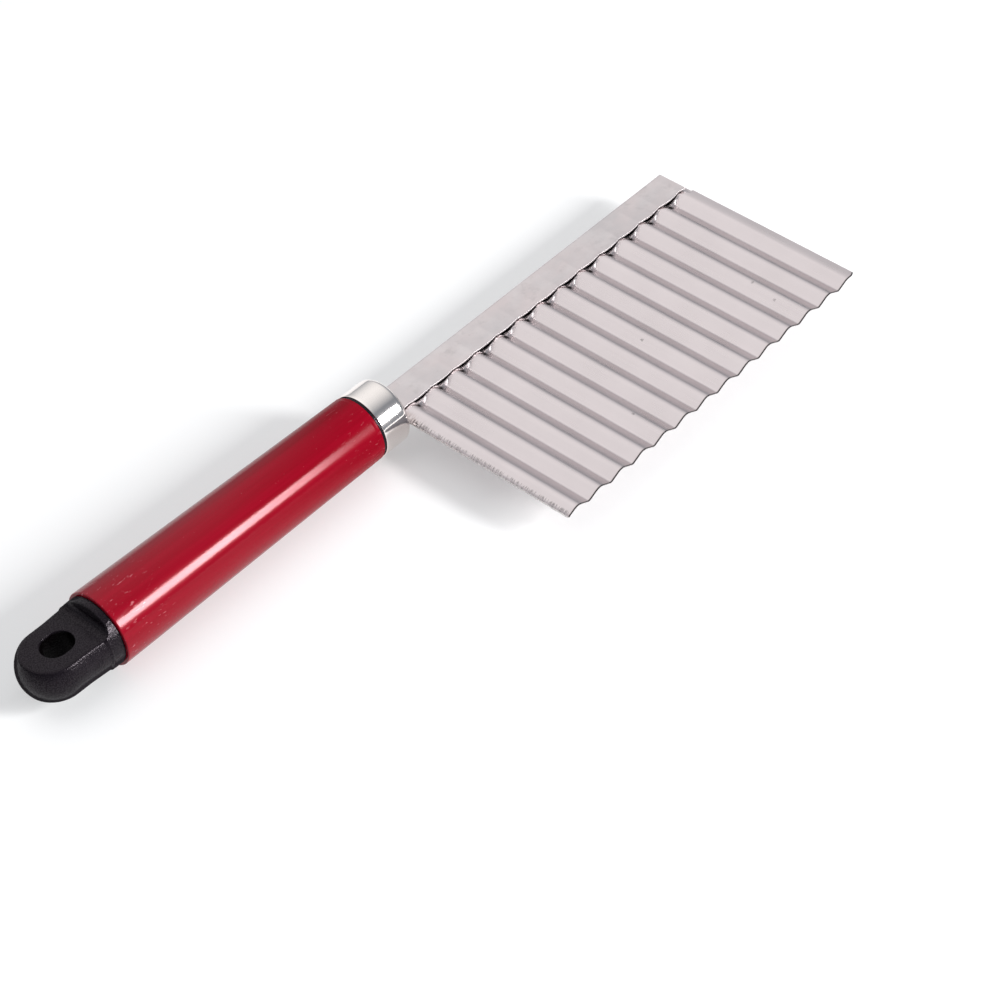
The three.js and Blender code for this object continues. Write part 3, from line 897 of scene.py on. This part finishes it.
def strip_steel():
    """Flat satin strip with rolling lines along it, faint bluish and pinkish smudges and painted shade inside
    the fold.
    """
    material, tree, shader, place = new_paint("strip_steel", metallic=1.0)
    smudge = noise(tree, place, 110.0, 5.0, 0.6)
    tarnish = noise(tree, stretched(tree, place, (60.0, 110.0, 110.0)), 1.0, 4.0)
    lines = noise(tree, stretched(tree, place, (20.0, 1800.0, 600.0)), 1.0, 3.0)
    colour = toned(tree, tarnish, 0.36, 0.64, STRIP_TONES)
    pale = spread(tree, smudge, 0.45, 0.72, 0, 0.8)
    colour = mixed(tree, pale, colour, STRIP_PALE_TONE)
    worn = spread(tree, noise(tree, place, 260.0, 5.0, 0.6), 0.56, 0.72, 0, 0.5)
    colour = mixed(tree, worn, colour, STRIP_WORN_TONE)
    # Painted shade inside the fold
    colour = mixed(tree, shares_of(tree, "painted_shade"), colour, TEAR_AND_SHADE_TONE)
    rough = spread(tree, combined(tree, "ADD", lines, smudge), 0.6, 1.4, 0.28, 0.4)
    rough = combined(tree, "MAXIMUM", rough, spread(tree, shares_of(tree, "lip"), 0, 1, 0.2, 0.55))
    join(tree, shader, Base_Color=colour, Roughness=rough, Normal=bumped(tree, lines, 0.00001, 0.4))
    return material


def polished_steel():
    """Polished cup with fine turning lines and faint haze."""
    material, tree, shader, place = new_paint("polished_steel", metallic=1.0)
    haze = noise(tree, place, 160.0, 4.0)
    lines = noise(tree, stretched(tree, place, (2600.0, 60.0, 60.0)), 1.0, 2.0)
    colour = mixed(tree, haze, *POLISHED_TONES)
    rough = spread(tree, combined(tree, "ADD", haze, lines), 0.6, 1.4, 0.07, 0.14)
    join(tree, shader, Base_Color=colour, Roughness=rough, Normal=bumped(tree, lines, 0.000004, 0.4))
    return material


def plain_steel():
    """Unfinished steel inside the handle."""
    material, tree, shader, place = new_paint("plain_steel", metallic=1.0)
    stain = noise(tree, place, 90.0, 5.0)
    colour = mixed(tree, stain, *PLAIN_TONES)
    join(tree, shader, Base_Color=colour, Roughness=spread(tree, stain, 0.3, 0.7, 0.4, 0.6))
    return material


def red_film():
    """Glossy crimson film with streaks along the handle, specks and scuffs."""
    material, tree, shader, place = new_paint("red_film")
    streak = noise(tree, stretched(tree, place, (9.0, 420.0, 420.0)), 1.0, 4.0)
    cloud = noise(tree, place, 45.0, 3.0)
    colour = toned(tree, streak, 0.3, 0.7, RED_TONES)
    along = node(tree, "ShaderNodeSeparateXYZ", "X", {"Vector": place})
    rear, front = (float(to_row((x, 0, 0))[0]) for x in (SLEEVE_LOW[0], SLEEVE_HIGH[0]))

    def towards_front(zone, to_low, to_high):
        return spread(tree, along, *(front - distance * MM for distance in zone), to_low, to_high)

    rubbed = spread(tree, along, *(rear + distance * MM for distance in RUBBED_REAR), 1, 0)
    rubbed = combined(tree, "MAXIMUM", rubbed, towards_front(RUBBED_FRONT, 0, 0.35))
    scuff = noise(tree, stretched(tree, place, (420.0, 1300.0, 1300.0)), 1.0, 4.0, 0.6)
    scuff = combined(tree, "MULTIPLY", rubbed, spread(tree, scuff, 0.62, 0.71, 0, 0.75))
    speck = noise(tree, place, 1500.0, 2.0)
    scuff = combined(tree, "MAXIMUM", scuff, spread(tree, speck, 0.77, 0.8, 0, 0.7))
    colour = mixed(tree, scuff, colour, RED_SCUFF_TONE)
    rough = spread(tree, combined(tree, "ADD", streak, cloud), 0.6, 1.4, 0.1, 0.18)
    rough = combined(tree, "ADD", rough, towards_front(DULL_FRONT, 0, 0.1))
    ripples = noise(tree, stretched(tree, place, (120.0, 300.0, 300.0)), 1.0, 3.0)
    gloss = towards_front(SHINE_FRONT, 0.26, 0.06)
    gloss = combined(tree, "MULTIPLY", gloss, edge_on(tree, RED_EDGE_ON, 1, 0.1))
    shader.inputs["Specular Tint"].default_value = RED_SHINE
    join(tree, shader, Base_Color=colour, Roughness=rough, Specular_IOR_Level=gloss)
    join(tree, shader, Normal=bumped(tree, ripples, 0.00002, 0.3))
    return material


def black_plastic(name, grain_scale):
    """Near-black moulded plastic with a fine grain, dull edge-on and with painted shade in the bore of an
    eye.
    """
    material, tree, shader, place = new_paint(name)
    grain = noise(tree, place, grain_scale, 3.0)
    cloud = noise(tree, place, 120.0, 4.0)
    colour = toned(tree, cloud, 0.3, 0.7, BLACK_TONES)
    rough = spread(tree, combined(tree, "ADD", grain, cloud), 0.6, 1.4, 0.16, 0.3)
    rough = combined(tree, "MAXIMUM", rough, edge_on(tree, BLACK_EDGE_ON, 0, 1))
    bore = shares_of(tree, "bore")
    # Painted shade: the eye's bore is darkened to near black
    colour = mixed(tree, bore, colour, BORE_SHADE_TONE)
    speckle = spread(tree, noise(tree, place, SPECKLE_GRAIN * grain_scale, 2.0), 0.4, 0.62, 0.55, 1.7)
    gloss = combined(tree, "MULTIPLY", speckle, spread(tree, bore, 0, 1, 0.17, 0.02))
    shader.inputs["Specular Tint"].default_value = BLACK_SHINE
    join(tree, shader, Base_Color=colour, Roughness=rough, Specular_IOR_Level=gloss)
    join(tree, shader, Normal=bumped(tree, grain, 0.00015, 0.6))
    return material


# Stage

def pale_floor():
    """A floor that looks a little brighter than the light on it, and keeps the shadow."""
    mesh = bpy.data.meshes.new("floor")
    corners = [(FLOOR_REACH * x, FLOOR_REACH * y, 0) for x, y in ((-1, -1), (1, -1), (1, 1), (-1, 1))]
    mesh.from_pydata(corners, [], [(0, 1, 2, 3)])
    floor = bpy.data.objects.new("floor", mesh)
    bpy.context.scene.collection.objects.link(floor)
    material, tree, shader, _ = new_paint("pale_floor")
    shader.inputs["Base Color"].default_value = (FLOOR_COLOUR, FLOOR_COLOUR, FLOOR_COLOUR, 1)
    shader.inputs["Roughness"].default_value = FLOOR_ROUGHNESS
    shader.inputs["Specular IOR Level"].default_value = 0.0
    shader.inputs["Emission Color"].default_value = (1, 1, 1, 1)
    rays = tree.nodes.new("ShaderNodeLightPath").outputs
    seen = combined(tree, "MAXIMUM", rays["Is Camera Ray"], rays["Is Glossy Ray"])
    seen = combined(tree, "MAXIMUM", seen, rays["Is Transmission Ray"])
    tree.links.new(combined(tree, "MULTIPLY", seen, FLOOR_LIFT), shader.inputs["Emission Strength"])
    mesh.materials.append(material)


def studio_world():
    """A soft dome with one broad brighter panel overhead, behind the blade."""
    world = bpy.data.worlds.new("studio")
    bpy.context.scene.world = world
    world.use_nodes = True
    tree = world.node_tree
    way = tree.nodes.new("ShaderNodeTexCoord").outputs["Generated"]
    middle = Vector(PANEL_WAY).normalized()
    towards = node(tree, "ShaderNodeVectorMath", "Value", {0: way, 1: middle}, operation="DOT_PRODUCT")
    panel = (PANEL_LEVEL, PANEL_LEVEL, PANEL_LEVEL, 1)
    colour = toned(tree, towards, *PANEL_EDGE, ((*DOME_COLOUR, 1), panel))
    tree.links.new(colour, tree.nodes["Background"].inputs["Color"])


def soft_box(name, way, distance, width, height, radiance):
    """A rectangular lamp that faces the tool from a direction of its frame, its width along the handle."""
    lamp = bpy.data.lights.new(name, "AREA")
    lamp.shape = "RECTANGLE"
    lamp.size = width
    lamp.size_y = height
    lamp.energy = radiance * math.pi * width * height
    box = bpy.data.objects.new(name, lamp)
    bpy.context.scene.collection.objects.link(box)
    way = Vector(way).normalized()
    across = (Vector((1, 0, 0)) - way * way.x).normalized()
    turned = Matrix((across, way.cross(across), way)).transposed().to_4x4()
    box.matrix_world = Matrix.Translation(Vector(to_row(LAMP_TARGET)) + way * distance) @ turned
    return box


def link_light(lamp, piece, state):
    """Lets a lamp reach one piece alone, with INCLUDE, or all but this one, with EXCLUDE."""
    group = bpy.data.collections.new(lamp.name + "_link")
    group.objects.link(piece)
    group.collection_objects[0].light_linking.link_state = state
    lamp.light_linking.receiver_collection = group


def photo_camera():
    """The camera at the photograph's viewing angle."""
    azimuth = math.radians(CAMERA_AZIMUTH)
    elevation = math.radians(CAMERA_ELEVATION)
    ahead = Vector((
        math.cos(azimuth) * math.cos(elevation),
        math.sin(azimuth) * math.cos(elevation),
        -math.sin(elevation),
    ))
    level = ahead.cross(Vector((0, 0, 1))).normalized()
    turn = Matrix.Rotation(math.radians(-CAMERA_ROLL), 3, ahead)
    right = turn @ level
    above = right.cross(ahead)
    data = bpy.data.cameras.new("photo_camera")
    data.lens = CAMERA_LENS
    data.sensor_width = CAMERA_SENSOR
    camera = bpy.data.objects.new("photo_camera", data)
    bpy.context.scene.collection.objects.link(camera)
    place = Vector(to_row(CAMERA_TARGET)) - ahead * CAMERA_DISTANCE * MM
    turned = Matrix((right, above, -ahead)).transposed().to_4x4()
    camera.matrix_world = Matrix.Translation(place) @ turned
    bpy.context.scene.camera = camera


sheet = blade_sheet()
dress(sheet, "corrugated_blade", "blade_steel", sheet_steel(), sheared_steel())
dress(spine_strip(), "spine_channel", "strip_steel", strip_steel())
dress(ferrule_cup(), "ferrule", "ferrule_steel", polished_steel())
dress(front_ring(), "front_plug", "ring_plastic", black_plastic("ring_plastic", RING_GRAIN))
dress(grip_sleeve(), "grip_sleeve", "red_sleeve", red_film())
dress(end_cap(), "end_cap", "cap_plastic", black_plastic("cap_plastic", CAP_GRAIN))
hidden_steel = plain_steel()
for hidden in ("lock_pin", "handle_tube"):
    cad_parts[hidden].data.materials.clear()
    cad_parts[hidden].data.materials.append(hidden_steel)

pale_floor()
studio_world()
key_box = soft_box("key_box", KEY_WAY, KEY_DISTANCE, *KEY_SIZE, KEY_RADIANCE)
glint_box = soft_box("glint_box", GLINT_WAY, KEY_DISTANCE, *KEY_SIZE, GLINT_RADIANCE)
link_light(key_box, sheet, "EXCLUDE")
link_light(glint_box, sheet, "INCLUDE")
photo_camera()
bpy.context.scene.view_settings.view_transform = "Standard"
